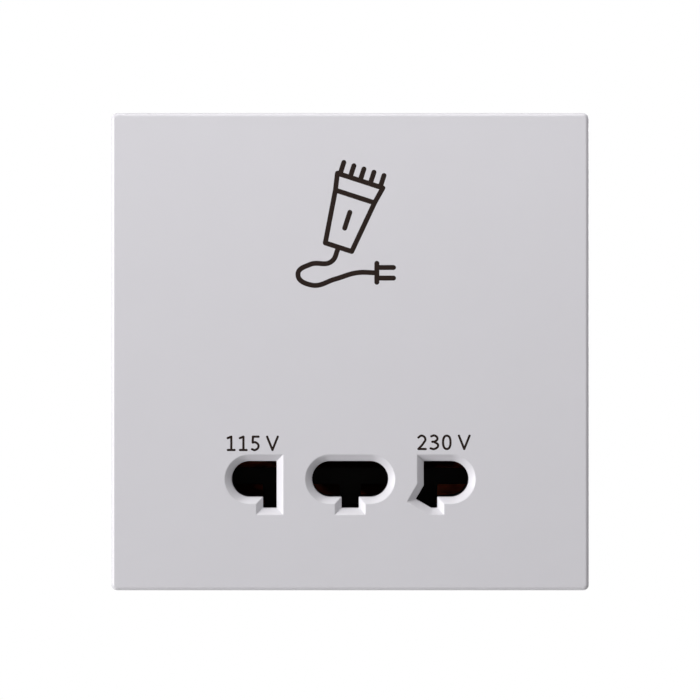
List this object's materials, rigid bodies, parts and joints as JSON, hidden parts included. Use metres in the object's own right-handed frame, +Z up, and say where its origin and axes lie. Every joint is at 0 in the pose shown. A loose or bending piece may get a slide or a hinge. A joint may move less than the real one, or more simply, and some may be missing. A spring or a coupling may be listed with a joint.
{
  "type": "shaver socket",
  "caption": "Square wall-mounted shaver supply socket: a clip-on cover plate with chamfered multi-standard pin slots over an isolating transformer in a deep rear housing.",
  "frame": {"origin": "middle of the two fixing slots, on the wall plane", "axes": "seen from the front, +X to the right, +Y into the wall, +Z up"},
  "size_m": [0.086, 0.0506, 0.086],
  "materials": {
    "white_plastic": "satin moulded polycarbonate",
    "frame_plastic": "fine matt moulded polycarbonate",
    "dark_phenolic": "dark brown moulded phenolic",
    "housing_plastic": "dark grey spark-textured polycarbonate",
    "carrier_plastic": "natural polyamide",
    "former_plastic": "natural polyamide",
    "phosphor_bronze": "rolled strip",
    "brass": "machined",
    "zinc_steel": "bright zinc plating",
    "core_steel": "varnished laminations",
    "primary_tape": "polyester tape over enamelled copper",
    "secondary_tape": "polyester tape over enamelled copper",
    "cutout_case": "moulded case",
    "brown_insulation": "extruded PVC",
    "blue_insulation": "extruded PVC",
    "green_insulation": "extruded PVC",
    "white_insulation": "extruded PVC",
    "black_insulation": "extruded PVC",
    "red_insulation": "extruded PVC"
  },
  "bodies": {
    "root": {"cover_plate": "white_plastic", "mounting_frame": "frame_plastic", "contact_block": "dark_phenolic", "block_cover": "dark_phenolic", "contact_115v": "phosphor_bronze", "contact_common": "phosphor_bronze", "contact_230v": "phosphor_bronze", "rear_housing": "housing_plastic", "terminal_carrier": "carrier_plastic", "line_terminal": "brass", "neutral_terminal": "brass", "earth_terminal": "brass", "transformer_core": "core_steel", "coil_former": "former_plastic", "primary_winding": "primary_tape", "secondary_winding": "secondary_tape", "thermal_cutout": "cutout_case", "line_lead": "brown_insulation", "neutral_lead": "blue_insulation", "earth_lead": "green_insulation", "lead_115v": "white_insulation", "lead_common": "black_insulation", "lead_230v": "red_insulation", "housing_screws": "zinc_steel", "block_screws": "zinc_steel", "core_screws": "zinc_steel", "carrier_screws": "zinc_steel", "terminal_screws": "zinc_steel"}
  },
  "joints": []
}
